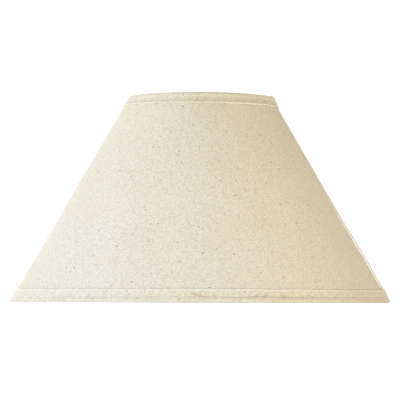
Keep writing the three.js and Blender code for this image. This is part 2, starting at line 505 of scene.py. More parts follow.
@dataclass(frozen=True)
class LaminatedLinen:
    """Woven oatmeal linen, pressed on an adhesive sheet: slubs both ways, flecks of bast and a dry bloom.

    Attributes:
        name: the material's name.
        yarn: colour of most of the yarn.
        pale: colour of the bleached yarns.
        deep: colour between the yarns.
        grain: turn of the weave on the flat pattern.
        unevenness: strength of the slow drift of colour.
        pitch: spacing of the drawn yarns. Real ones lie 0.7 mm apart, which breaks up from afar.
    """

    name: str
    yarn: str = "#DED3B8"
    pale: str = "#E9DFC6"
    deep: str = "#CCBE9D"
    grain: float = 0.0
    unevenness: float = 0.07
    pitch: float = 1.0 * MM

    def build(self) -> Material:
        """Makes the material on the cloth's own flat pattern.

        Returns:
            The material.
        """
        paint = Paint(self.name)
        cloth = paint.add("ShaderNodeUVMap", uv_map="cloth").outputs["UV"]
        turn = (0.0, 0.0, self.grain)
        flat = paint.add("ShaderNodeMapping", {"Vector": cloth, "Rotation": turn}).outputs[0]
        slubs = self.yarns(paint, flat, (900.0, 62.0), 2.5)
        over = self.crossings(paint, flat)
        face = paint.mix(over, *slubs)
        # Each yarn also goes from thin to thick and from pale to dark about every two millimetres.
        fleck = paint.mix(over, *self.yarns(paint, flat, (1500.0, 520.0), 0.0))
        body = paint.mix(0.78, face, fleck)
        colour = self.yarn_colour(paint, body)
        colour = self.drift(paint, flat, colour)
        colour = self.specks(paint, flat, colour)
        colour = self.painted_light_and_stains(paint, colour)
        # The yarns and their crossings rise by about a tenth of a millimetre.
        relief = paint.bump(0.2, 0.2 * MM, paint.mix(0.25, body, over))
        # The loose fibre ends catch light at a glancing angle, which pales the cloth towards its outline.
        sheen = {"Sheen Weight": 0.22, "Sheen Roughness": 0.55, "Sheen Tint": linear_rgb("#FBF7EC")}
        dry = {"Roughness": 0.92, "Specular IOR Level": 0.18}
        return paint.finish({"Base Color": colour, "Normal": relief, **dry, **sheen})

    def yarns(self, paint: Paint, flat: Socket, marks: tuple[float, float], detail: float) -> list[Socket]:
        """Draws the thick and thin of the yarns, long one way and about a yarn wide the other.

        Args:
            paint: the material.
            flat: the turned flat pattern.
            marks: marks a metre across a yarn and along it.
            detail: how many finer octaves there are.

        Returns:
            The thickness of the warp and of the weft, about a half.
        """
        across, along = marks
        found = []
        for scale in ((across, along, 1.0), (along, across, 1.0)):
            stretch = paint.add("ShaderNodeMapping", {"Vector": flat, "Scale": scale})
            found.append(paint.noise(stretch.outputs[0], 1.0, detail, 0.6))
        return found

    def crossings(self, paint: Paint, flat: Socket) -> Socket:
        """Draws the plain weave, one yarn over and one under.

        Args:
            paint: the material.
            flat: the turned flat pattern.

        Returns:
            1 where the weft is on top and 0 where the warp is.
        """
        axes = paint.add("ShaderNodeSeparateXYZ", {0: flat})
        waves = []
        for axis in ("X", "Y"):
            phase = paint.math("MULTIPLY", axes.outputs[axis], math.pi / self.pitch)
            waves.append(paint.math("SINE", phase))
        return paint.span(paint.math("MULTIPLY", *waves), -0.45, 0.45, interpolation_type="SMOOTHSTEP")

    def yarn_colour(self, paint: Paint, body: Socket) -> Socket:
        """Colours the yarns from the hollows between them to the bleached ones on top.

        Args:
            paint: the material.
            body: how thick the cloth is, about a half.

        Returns:
            The colour.
        """
        ramp = paint.add("ShaderNodeValToRGB", {"Fac": body})
        stops = ramp.color_ramp.elements
        stops[0].position, stops[0].color = 0.38, linear_rgb(self.deep)
        stops[1].position, stops[1].color = 0.60, linear_rgb(self.pale)
        stops.new(0.5).color = linear_rgb(self.yarn)
        return ramp.outputs["Color"]

    def drift(self, paint: Paint, flat: Socket, colour: Socket) -> Socket:
        """Lets the undyed colour drift between straw, pink and green over a few centimetres.

        Args:
            paint: the material.
            flat: the turned flat pattern.
            colour: the yarn colour.

        Returns:
            The drifting colour.
        """
        washes = ((31.0, "#F6E3BE", 0.46, 1.0), (150.0, "#F5DCCF", 0.5, 3.0), (190.0, "#E0E4BC", 0.5, 3.0))
        for scale, tint, low, strength in washes:
            patch = paint.noise(flat, scale, 1.5)
            share = paint.span(patch, low, low + 0.2, most=strength * self.unevenness)
            colour = paint.wash(share, colour, tint, "MULTIPLY")
        return colour

    def specks(self, paint: Paint, flat: Socket, colour: Socket) -> Socket:
        """Scatters the brown bits of flax husk that spinning leaves in the yarn.

        Args:
            paint: the material.
            flat: the turned flat pattern.
            colour: the cloth's colour.

        Returns:
            The speckled colour.
        """
        for scale, size, strength in ((90.0, 0.10, 0.90), (300.0, 0.24, 0.36)):
            cell = paint.add("ShaderNodeTexVoronoi", {"Vector": flat, "Scale": scale})
            spot = paint.span(cell.outputs["Distance"], size, size * 0.4, most=strength)
            colour = paint.wash(spot, colour, "#7B6440")
        return colour

    def painted_light_and_stains(self, paint: Paint, colour: Socket) -> Socket:
        """Pales the folds, partly as pressed linen and partly as a painted highlight, darkens with painted
        shade, and stains the odd slub.

        Args:
            paint: the material.
            colour: the cloth's colour.

        Returns:
            The finished colour.
        """
        # The pale wash is partly pressed linen and partly a painted highlight; the grey-brown wash is painted
        # shade.
        for mark, tint in (("pressed", "#FFFDF6"), ("painted_shade", "#8A806B"), ("stain", "#A8914C")):
            weight = paint.add("ShaderNodeAttribute", attribute_name=mark)
            colour = paint.wash(weight.outputs["Fac"], colour, tint)
        return colour


@dataclass(frozen=True)
class MottledFinish:
    """A hard or coated surface with a fine, slow unevenness of colour and polish.

    Attributes:
        name: the material's name.
        light: colour of most of it.
        dark: colour of its tarnish, dust or thin places.
        metal: 1 for bare metal, 0 for anything else.
        polish: least and most roughness.
        grain: marks a metre along each axis.
        relief: height of the fine marks.
    """

    name: str
    light: str
    dark: str
    metal: float
    polish: tuple[float, float]
    grain: tuple[float, float, float]
    relief: float

    def build(self) -> Material:
        """Makes the material on Object coordinates.

        Returns:
            The material.
        """
        paint = Paint(self.name)
        place = paint.add("ShaderNodeTexCoord").outputs["Object"]
        fine = paint.add("ShaderNodeMapping", {"Vector": place, "Scale": self.grain})
        marks = paint.noise(fine.outputs[0], 1.0, 4.0)
        both = paint.mix(0.6, marks, paint.noise(place, 45.0, 2.0))
        colour = paint.wash(paint.span(both, 0.42, 0.66), linear_rgb(self.light), self.dark)
        rough = paint.span(both, 0.3, 0.7, *self.polish)
        inputs = {"Base Color": colour, "Roughness": rough, "Metallic": self.metal}
        return paint.finish({**inputs, "Normal": paint.bump(0.3, self.relief, marks)})


# Linen laminated on styrene: matt and oatmeal, an even weave with thick and thin yarns and brown husk specks.
PANEL_LINEN = LaminatedLinen("laminated_oatmeal_linen")
# The same linen cut on the bias: its weave runs slantwise, and handling has made it blotchier.
BIAS_LINEN = LaminatedLinen("bias_cut_linen_tape", yarn="#DFD5B9", grain=math.radians(45.0), unevenness=0.12)
# Extruded styrene sheet: white, satin, and a little uneven where it cooled on the roller.
STYRENE = MottledFinish(
    "extruded_white_styrene", "#F3F0E7", "#E9E4D6", 0.0, (0.42, 0.56), (60.0, 60.0, 900.0), 0.02 * MM
)
# Acrylic transfer tape: yellowed glue on a clear film.
TAPE = MottledFinish(
    "acrylic_transfer_tape", "#E7DFC4", "#CFC19A", 0.0, (0.3, 0.5), (500.0, 500.0, 90.0), 0.02 * MM
)
# Drawn steel wire: grey, with fine marks and faint rust in the dips.
DRAWN_STEEL = MottledFinish(
    "drawn_steel_wire", "#BCBDBE", "#8C857C", 1.0, (0.28, 0.5), (300.0, 300.0, 300.0), 0.03 * MM
)
# Bright brass plate over steel: warm, glossy, dulled where fingers have been.
BRASS = MottledFinish(
    "bright_brass_plate", "#DDB668", "#A9843F", 1.0, (0.16, 0.38), (220.0, 220.0, 220.0), 0.015 * MM
)
# Background paper: white and matt, with barely a mark on it.
FLOOR_PAPER = MottledFinish(
    "pale_background_paper", "#FBFAF7", "#F5F3EE", 0.0, (0.8, 0.95), (30.0, 30.0, 30.0), 0.02 * MM
)


# --- The wrapped side ---


@dataclass
class WrappedSide:
    """The side of the shade: linen on styrene, wrapped once round and lapped.

    Attributes:
        cone: the linen's outer face.
        lap: the seam.
        linen: thickness of the linen.
        glue: thickness of the glue between linen and styrene.
        styrene: thickness of the styrene.
        top_cut: from the top edge line to the sheet's cut edge.
        bottom_cut: from the floor line to the sheet's cut edge.
        turn_in: width of linen turned over the styrene's outer end.
        tape: thickness of the lap's tape.
        rows: spans down the side.
        step: spacing of the stations round the middle.
        reach: how far from the seam the stations keep parallel to it.
        waves: slow unevenness of the whole sheet.
        calm: how far from the seam the unevenness takes to its full height.
        opening: where down the seam its fold goes from pressed flat to standing proud.
        pressed: how deep the fold is pressed in its upper half.
        flare: how much further it lifts in its lower half.
        fold: radius of the fold.
        gap: room between the cone and the end that is turned in.
    """

    cone: Cone
    lap: Lap
    linen: float = 0.6 * MM
    glue: float = 0.1 * MM
    styrene: float = 0.4 * MM
    top_cut: float = 1.0 * MM
    bottom_cut: float = 2.1 * MM
    turn_in: float = 5.0 * MM
    tape: float = 0.2 * MM
    rows: int = 72
    step: float = 3.0 * MM
    reach: float = 62.0 * MM
    waves: Waves = ((5, 0.10 * MM, 0.4), (9, 0.07 * MM, 2.1), (14, 0.05 * MM, 4.0))
    calm: float = 40.0 * MM
    opening: Step = (95.0 * MM, 90.0 * MM)
    pressed: float = 0.72 * MM
    flare: float = 0.12 * MM
    fold: float = 0.3 * MM
    gap: float = 0.12 * MM

    def end_stations(self) -> Array:
        """Returns distances from the outer end, close together at the fold and the lap."""
        fold = (0.0, 0.05, 0.12, 0.22, 0.35, 0.55, 0.8, 1.2, 1.7, 2.3, 3.0)
        lap = (3.6, 4.3, 5.0, 5.6, 6.5, 8.0, 10.0, 12.0, 14.0, 16.0, 18.0)
        beyond = (20.5, 23.0, 26.0, 29.0, 32.0, 35.0, 38.0, 42.0, 47.0, 52.0, 57.0, 62.0)
        return np.array(fold + lap + beyond) * MM

    def heights(self, margin: float) -> Array:
        """Returns distances down the side, between the cut edges and a margin inside them."""
        return np.linspace(self.top_cut + margin, self.cone.side - self.bottom_cut - margin, self.rows + 1)

    def wrap(self, start: float, stop: float, margin: float) -> tuple[Array, Array, Array, Array]:
        """Lays out the sheet's grid, with both of its ends parallel to the seam.

        Args:
            start: from the outer end to the first station.
            stop: from the seam to the last station, under the lap.
            margin: how far the grid stays in from the cut edges at the rims.

        Returns:
            Turn from the seam, distance down the side, distance from the outer end, and distance to the
            inner end's seam line, each stations by rows.
        """
        middle = float(self.cone.radius(self.cone.side * 0.5))
        whole = 2.0 * math.pi * middle
        ends = self.end_stations()
        first = np.concatenate([[start], ends[ends > start + 0.02 * MM]])
        count = int((whole - 2.0 * self.reach) / self.step)
        between = np.linspace(self.reach, whole - self.reach, count)[1:-1]
        under = np.concatenate([-np.linspace(self.reach, 3.0 * MM, 18), np.linspace(0.0, stop, 6)])
        laid = np.concatenate([first, between, whole + under])
        from_end, down = np.meshgrid(laid, self.heights(margin), indexing="ij")
        from_seam = from_end - whole
        radius = self.cone.radius(down)
        near = np.minimum(np.abs(from_end), np.abs(from_seam))
        blend = radius + (middle - radius) * smooth(near / self.reach)
        turn = np.where(from_end < whole * 0.5, from_end / blend, 2.0 * math.pi + from_seam / blend)
        return turn, down, turn * radius, (turn - 2.0 * math.pi) * radius

    def stand(self, past_end: Array, past_seam: Array, down: Array) -> Array:
        """Finds how far the sheet stands off the cone, from its lap, its belly and its own unevenness.

        Args:
            past_end: distances from the outer end.
            past_seam: distances past the seam, under the lap.
            down: distances down the side.

        Returns:
            The height, square to the side.
        """
        first_half = past_end < math.pi * self.cone.radius(down)
        lifted = np.where(first_half, self.lap.stand_off(past_end), 0.0)
        belly = self.lap.belly(np.where(first_half, past_end, past_seam), down)
        calm = smooth(past_end / self.calm) * smooth(-past_seam / self.calm)
        up = self.cone.side - down
        calm = calm * rise(down, 8.0 * MM, 25.0 * MM) * rise(up, 20.0 * MM, 25.0 * MM)
        return lifted + belly + ripple(past_end / self.cone.radius(down) + down * 4.0, self.waves) * calm

    def sheet(self, name: str, outer: Array, inner: Array, turn: Array, down: Array, marks: dict) -> Piece:
        """Makes one closed ply between two faces.

        Args:
            name: the piece's name.
            outer: outer face, square to the cone, stations by rows.
            inner: inner face.
            turn: turn from the seam.
            down: distance down the side.
            marks: named weights, stations by rows.

        Returns:
            The ply.
        """
        azimuth = self.lap.azimuth + turn
        faces = [self.cone.points(down, outer, azimuth), self.cone.points(down, inner, azimuth)[:, ::-1]]
        flat = self.cone.pattern(down, turn)
        flat = np.concatenate([flat, flat[:, ::-1], flat[:, :1]], 1)
        both = {mark: np.concatenate([weight, weight[:, ::-1]], 1) for mark, weight in marks.items()}
        piece = Sweep(np.concatenate(faces, 1), flat, False, both).build(name)
        soften(piece, 50.0)
        return piece

    def cover(self, material: Material) -> Piece:
        """Builds the linen, with its outer end turned over the styrene.

        Args:
            material: the linen.

        Returns:
            The linen cover.
        """
        turn, down, past_end, past_seam = self.wrap(0.0, self.lap.overlap, 0.0)
        lower = rise(down, *self.opening)
        outer = self.stand(past_end, past_seam, down)
        outer = outer - self.pressed * (1.0 - lower) * fade(past_end, 0.0, 6.0 * MM)
        lowest = rise(down, 150.0 * MM, 60.0 * MM) * fade(down, 232.0 * MM, 8.0 * MM)
        outer = outer + self.flare * lowest * fade(past_end, 0.0, 16.0 * MM)
        at_end = fade(past_end, 3.0 * MM, self.turn_in - 3.0 * MM)
        turned_in = self.gap + self.lap.belly(past_end, down)
        inner = (outer - self.linen) * (1.0 - at_end) + turned_in * at_end
        away = np.clip(self.fold - past_end, 0.0, self.fold)
        rounding = self.fold - np.sqrt(np.maximum(self.fold**2 - away**2, 0.0))
        outer = outer - rounding
        inner = inner + np.minimum(rounding, self.gap)
        piece = self.sheet("wrapped_linen", outer, inner, turn, down, self.marks(past_end, lower))
        return dress(piece, material, "linen", "linen_cover")

    def marks(self, past_end: Array, lower: Array) -> dict[str, Array]:
        """Weighs the pale fold at the outer end, partly its paler turned edge and partly a painted highlight,
        and the painted shadow that the lifted fold casts behind it.

        Args:
            past_end: distances from the outer end.
            lower: 1 where the fold stands proud.

        Returns:
            The weights by name, stations by rows.
        """
        # A painted highlight on the fold, strongest in the lower half where it stands proud, then a painted
        # shadow behind it.
        edge = hill(past_end, 0.0, 0.25 * MM)
        painted_shade = 0.20 * fade(past_end, 2.0 * MM, 7.0 * MM) + 0.16 * fade(past_end, 1.0 * MM, 21.0 * MM)
        painted_shade = painted_shade * rise(past_end, 0.4 * MM, 0.5 * MM)
        pressed = 0.95 * edge * (0.2 + 0.8 * lower)
        return {"pressed": pressed, "painted_shade": painted_shade * lower, "stain": np.zeros_like(edge)}

    def liner(self, material: Material) -> Piece:
        """Builds the styrene behind the linen.

        Args:
            material: the styrene.

        Returns:
            The liner.
        """
        start, stop = self.turn_in + 0.4 * MM, self.lap.overlap - 0.6 * MM
        turn, down, past_end, past_seam = self.wrap(start, stop, 0.15 * MM)
        outer = self.stand(past_end, past_seam, down) - self.linen - self.glue
        piece = self.sheet("styrene_lining", outer, outer - self.styrene, turn, down, {})
        return dress(piece, material, "styrene", "styrene_liner")

    def lap_tape(self, material: Material) -> Piece:
        """Builds the tape that holds the lap shut, set back from both of its edges.

        Args:
            material: the tape.

        Returns:
            The tape.
        """
        across = np.linspace(self.turn_in + 0.8 * MM, self.lap.overlap - 0.5 * MM, 9)
        across, down = np.meshgrid(across, self.heights(3.0 * MM), indexing="ij")
        base = self.lap.belly(across, down) + 0.1 * MM
        pucker = 0.02 * MM * np.sin(down * 900.0 + across * 700.0)
        turn = across / self.cone.radius(down)
        piece = self.sheet("seam_tape", base + self.tape + pucker, base, turn, down, {})
        return dress(piece, material, "tape", "lap_tape")

    def declare(self, cover: Piece) -> None:
        """Works out the radii of the half ring of linen that the cover was cut from, and does nothing more
        with them.
        """
        reach, inside = (float(self.cone.radius(d)) / math.sin(self.cone.lean) for d in (self.cone.side, 0.0))


# --- The folded trims ---


class Rim(Enum):
    """The two edges of the shade."""

    TOP = "top"
    BOTTOM = "bottom"


@dataclass(frozen=True)
class TrimEnd:
    """Where a trim's turned-in end lies over its start.

    Attributes:
        azimuth: the folded end.
        over: how far the second layer goes on at full height.
        tail: how far it then takes to die away.
        height: thickness of the second layer.
    """

    azimuth: float
    over: float
    tail: float
    height: float

    def layer(self, angle: Array) -> Array:
        """Returns the second layer's height, steep at the fold and gentle behind it."""
        past = turned(angle - self.azimuth)
        steep = rise(past, -math.radians(0.25), math.radians(0.6))
        return self.height * steep * fade(past, self.over, self.tail)


@dataclass(frozen=True)
class Pull:
    """A slanting wrinkle that pulling a strip round its ring leaves.

    Attributes:
        azimuth: where its middle is, in degrees.
        width: how wide it is, in degrees.
        centre: how far its middle is from the rim, in millimetres.
        reach: how far it goes up and down from there, in millimetres.
        deep: its depth, in millimetres.
    """

    azimuth: float
    width: float
    centre: float
    reach: float
    deep: float

    def at(self, angle: Array, distance: Array) -> Array:
        """Returns the wrinkle's weight, at azimuths and distances from the rim."""
        slant = self.azimuth + np.degrees((distance - self.centre * MM) * 6.0)
        return ring_hill(angle, slant, self.width / 2.0) * hill(distance, self.centre * MM, self.reach * MM)


PULLS = (Pull(-73.0, 0.9, 9.0, 3.2, 0.16), Pull(-70.6, 0.8, 8.0, 3.0, 0.14), Pull(-65.0, 0.7, 7.0, 2.0, 0.24))
TOP_SLACK = ((23, 0.05 * MM, 1.0), (41, 0.04 * MM, 2.0))
BOTTOM_SLACK = ((31, 0.05 * MM, 0.3), (57, 0.04 * MM, 1.7), (83, 0.03 * MM, 4.4))


@dataclass
class RimTrim:
    """A bias strip of linen, folded over one edge of the shade and its ring.

    Attributes:
        rim: which edge.
        cone: the linen's outer face.
        lap: the seam that the strip rides over.
        outline: the strip's closed section, as (out, distance from the rim) in millimetres.
        band: how far the strip comes down the outside.
        end: its overlapped end.
        waves: how its border wanders.
        stations: steps round the ring.
    """

    rim: Rim
    cone: Cone
    lap: Lap
    outline: tuple[tuple[float, float], ...]
    band: float
    end: TrimEnd
    waves: Waves
    stations: int

    @property
    def radius(self) -> float:
        """Radius of the rim."""
        return float(self.cone.radius(0.0 if self.rim is Rim.TOP else self.cone.side))

    def section(self) -> Array:
        """Rounds the outline's corners off, as cloth does.

        Returns:
            The section, in metres.
        """
        points = np.array(self.outline) * MM
        after = np.roll(points, -1, axis=0)
        return np.stack([0.76 * points + 0.24 * after, 0.24 * points + 0.76 * after], 1).reshape(-1, 2)

    def girth(self) -> Array:
        """Returns the distance round the section to each of its points, and last to the first one again."""
        section = self.section()
        steps = np.linalg.norm(np.diff(np.concatenate([section, section[:1]]), axis=0), axis=1)
        return np.concatenate([[0.0], np.cumsum(steps)])

    def angles(self) -> Array:
        """Returns the stations' azimuths, closer together at the folded end and at the seam."""
        even = np.linspace(-math.pi, math.pi, self.stations, endpoint=False)
        fold = self.end.azimuth + np.radians(np.linspace(-0.5, 0.6, 12))
        seam = self.lap.azimuth + np.radians(np.linspace(-2.2, 0.4, 12))
        every = np.sort(turned(np.concatenate([even, fold, seam])))
        keep = np.concatenate([[True], np.diff(every) > math.radians(0.04)])
        return every[keep]

    def bridge(self, past: Array) -> Array:
        """Returns how far the strip rides over the lap, bridging the step at the seam."""
        return np.where(past < 0.0, self.lap.lift * fade(-past, 0.0, 5.0 * MM), self.lap.stand_off(past))

    def creases(self, angle: Array, distance: Array) -> tuple[Array, Array, Array]:
        """Shapes the strip's slack, its wrinkles and its one thick slub.

        Args:
            angle: azimuths.
            distance: distances from the rim.

        Returns:
            Change of height, painted shade in the creases, and stain.
        """
        none = np.zeros(np.broadcast(angle, distance).shape)
        if self.rim is Rim.TOP:
            return ripple(angle + distance * 30.0, TOP_SLACK), none, none
        height, painted_shade = ripple(angle - distance * 12.0, BOTTOM_SLACK), none
        for pull in PULLS:
            where = pull.at(angle, distance)
            height = height - pull.deep * MM * where
            # Painted shade in each wrinkle.
            painted_shade = painted_shade + 0.35 * where
        course = 6.8 * MM + 0.5 * MM * np.sin(angle * 19.0)
        long_crease = ring_hill(angle, -74.0, 20.0) * hill(distance, course, 0.7 * MM)
        height = height - 0.26 * MM * long_crease
        # Painted shade in the long crease.
        painted_shade = painted_shade + 0.4 * long_crease
        beyond = turned(angle - math.radians(-91.0))
        slub = hill(beyond, 0.0, math.radians(1.4)) * hill(distance + 0.065 * beyond, 9.2 * MM, 1.0 * MM)
        return height, painted_shade, 0.95 * slub

    def sweep(self) -> Sweep:
        """Carries the section round the rim.

        Returns:
            The closed sweep, with its marks.
        """
        section = self.section()
        angle = self.angles()[:, None]
        out, distance = section[None, :, 0], section[None, :, 1]
        outside = smooth((out + 0.45 * MM) / (0.5 * MM))
        sway = ripple(angle, self.waves) * outside * rise(distance, 5.0 * MM, self.band - 6.0 * MM)
        distance = distance + sway
        down = distance if self.rim is Rim.TOP else self.cone.side - distance
        past = self.lap.along(angle, self.cone.radius(down))
        height, painted_shade, stain = self.creases(angle, distance)
        within = rise(distance, 1.5 * MM, 3.0 * MM) * rise(self.band - distance, 0.6 * MM, 2.0 * MM)
        top_side = rise(out, 0.25 * MM, 0.3 * MM)
        lifted = out + outside * self.bridge(past) + self.lap.belly(past, down)
        layer = self.end.layer(angle) * top_side * (1.0 - 0.8 * rise(distance, 7.0 * MM, 6.0 * MM))
        points = self.cone.points(down, lifted + height * top_side * within + layer, angle)
        return Sweep(points, self.pattern(), True, self.marks(angle, section, top_side, painted_shade, stain))

    def pattern(self) -> Array:
        """Lays the strip flat: round the rim one way, round the section the other."""
        angles = self.angles()
        along = np.concatenate([angles, [angles[0] + 2.0 * math.pi]]) * self.radius
        return np.stack(np.meshgrid(along, self.girth(), indexing="ij"), -1)

    def marks(
        self, angle: Array, section: Array, top_side: Array, painted_shade: Array, stain: Array
    ) -> dict[str, Array]:
        """Weighs the pale folds, partly pressed linen and partly a painted highlight on the side towards the
        light, the painted shade, and the stains.

        Args:
            angle: azimuths.
            section: the section at rest.
            top_side: 1 on the strip's outer face.
            painted_shade: painted shade in the creases.
            stain: stains.

        Returns:
            The weights by name, stations by section points.
        """
        distance = section[None, :, 1]
        # The fold's paleness is partly a painted highlight, strongest on the side that faces the light; the
        # lines along the band's border and under the rim are painted shade.
        if self.rim is Rim.TOP:
            near = 0.30 + 0.70 * ring_hill(angle, -38.0, 40.0)
            fold = 0.80 * hill(distance, self.band - 0.75 * MM, 0.7 * MM) * top_side * near
            painted_shade_line = hill(distance, self.band - 2.6 * MM, 0.55 * MM) * top_side
        else:
            near = 0.15 + 0.85 * ring_hill(angle, -72.0, 42.0)
            fold = 0.5 * hill(distance, self.band - 1.6 * MM, 0.7 * MM) * top_side * near
            painted_shade_line = 1.3 * hill(distance, self.band - 0.1 * MM, 0.5 * MM) * near
            painted_shade_line = painted_shade_line + 1.25 * hill(distance, 0.3 * MM, 1.2 * MM)
        return {"pressed": 0.45 * fold, "painted_shade": 0.30 * painted_shade_line + painted_shade * top_side, "stain": stain * top_side}

    def build(self, material: Material, slits: list[Piece]) -> Piece:
        """Builds the trim and cuts the slits that the fitter's arms come through.

        Args:
            material: the bias-cut linen.
            slits: cutters, which are used up.

        Returns:
            The trim.
        """
        piece = self.sweep().build(f"{self.rim.value}_rim_trim")
        for cutter in slits:
            cut = piece.modifiers.new("slit", "BOOLEAN")
            cut.operation = "DIFFERENCE"
            cut.object = cutter
        apply_modifiers(piece)
        for cutter in slits:
            bpy.data.objects.remove(cutter)
        soften(piece, 50.0)
        return dress(piece, material, "linen_trim", f"{self.rim.value}_trim")

    def declare(self, piece: Piece) -> None:
        """Works out the strip's length as cut, with its overlap, and does nothing more with it."""
        length = 2.0 * math.pi * self.radius + self.end.over * self.radius


# The trims' closed sections, from the band's border over the rim and round the ring, and back underneath.
TOP_OUTLINE = (
    (0.20, 11.4), (0.18, 12.3), (0.40, 12.75), (0.78, 12.7), (1.08, 12.3), (1.18, 11.7),
    (1.10, 11.1), (0.88, 10.6), (0.78, 10.1), (0.84, 9.5), (0.90, 8.8), (0.84, 8.0),
    (0.74, 7.4), (0.74, 6.0), (0.84, 4.6), (1.00, 3.2), (1.16, 2.1), (1.02, 0.8),
    (0.62, -0.2), (-0.05, -0.82), (-0.80, -1.1), (-1.75, -1.2), (-2.9, -1.05), (-4.0, -0.45),
    (-4.9, 0.45), (-5.2, 1.6), (-5.15, 2.6), (-4.6, 3.6), (-3.6, 4.5), (-2.5, 5.3),
    (-2.05, 6.4), (-1.95, 7.8), (-1.98, 8.6), (-1.75, 8.95), (-1.35, 8.9), (-1.28, 8.2),
    (-1.28, 6.8), (-1.45, 5.4), (-2.3, 4.3), (-3.5, 3.65), (-4.35, 2.9), (-4.62, 1.9),
    (-4.3, 0.95), (-3.6, 0.4), (-2.9, 0.22), (-1.9, 0.28), (-0.9, 0.42), (-0.1, 0.55),
    (0.2, 0.95), (0.28, 2.0), (0.2, 4.0), (0.2, 8.0),
)
BOTTOM_OUTLINE = (
    (0.20, 14.4), (0.17, 15.4), (0.36, 15.98), (0.75, 16.0), (1.10, 15.65), (1.28, 15.0),
    (1.18, 14.2), (0.98, 13.5), (0.90, 12.6), (0.90, 11.4), (0.84, 10.2), (0.78, 9.2),
    (0.76, 8.2), (0.74, 7.3), (0.74, 6.7), (0.80, 6.1), (0.98, 5.2), (1.16, 4.2),
    (1.26, 3.3), (1.28, 2.3), (0.98, 1.4), (0.52, 0.7), (0.08, 0.2), (-0.5, 0.295),
    (-2.0, 1.161), (-3.4, 1.969), (-4.3, 2.52), (-5.1, 3.4), (-5.45, 4.5), (-5.3, 5.6),
    (-4.7, 6.55), (-3.7, 7.4), (-2.6, 8.2), (-2.1, 9.4), (-1.98, 10.6), (-2.0, 11.3),
    (-1.78, 11.7), (-1.36, 11.65), (-1.28, 10.9), (-1.28, 9.4), (-1.6, 8.1), (-2.6, 6.95),
    (-3.6, 6.35), (-4.3, 5.7), (-4.6, 4.7), (-4.3, 3.75), (-3.6, 3.1), (-2.9, 2.95),
    (-1.9, 2.3), (-1.1, 1.65), (-0.15, 1.25), (0.18, 1.9), (0.22, 4.0), (0.2, 9.0),
)


# --- The wire frame ---


def round_edges(piece: Piece, width: float, segments: int) -> None:
    """Rounds every sharp edge of a piece off.

    Args:
        piece: the piece.
        width: how far the rounding goes in from the edge.
        segments: how many faces it has.
    """
    rounding = piece.modifiers.new("rounding", "BEVEL")
    rounding.limit_method = "ANGLE"
    rounding.width = width
    rounding.segments = segments
    apply_modifiers(piece)


@dataclass
class WireRing:
    """A wire hoop, butt-welded, with the small upset that the weld leaves.

    Attributes:
        node: the ring's node in the frame.
        weld: azimuth of the weld.
        upset: how much thicker the wire is at the weld, as a share of its radius.
        upset_reach: how far along the wire the upset goes.
    """

    node: str
    weld: float = math.radians(150.0)
    upset: float = 0.09
    upset_reach: float = 1.3 * MM

    def build(self, material: Material) -> Piece:
        """Bends the hoop and swells it at the weld.

        Args:
            material: the steel.

        Returns:
            The ring.
        """
        radius, height = ring_circle(self.node, WIRE)
        deselect_all()
        bpy.ops.mesh.primitive_torus_add(
            major_segments=240,
            minor_segments=16,
            major_radius=radius,
            minor_radius=WIRE,
            location=(0.0, 0.0, height),
        )
        piece = bpy.context.object
        piece.name = f"{self.node}_wire"
        place_in_mesh(piece)
        for vertex in piece.data.vertices:
            angle = math.atan2(vertex.co.y, vertex.co.x)
            along = turned(np.array(angle - self.weld)) * radius
            centre = Vector((radius * math.cos(angle), radius * math.sin(angle), height))
            swell = 1.0 + self.upset * float(hill(along, 0.0, self.upset_reach))
            vertex.co = centre + (vertex.co - centre) * swell
        soften(piece, 60.0)
        return dress(piece, material, "steel_wire", self.node)


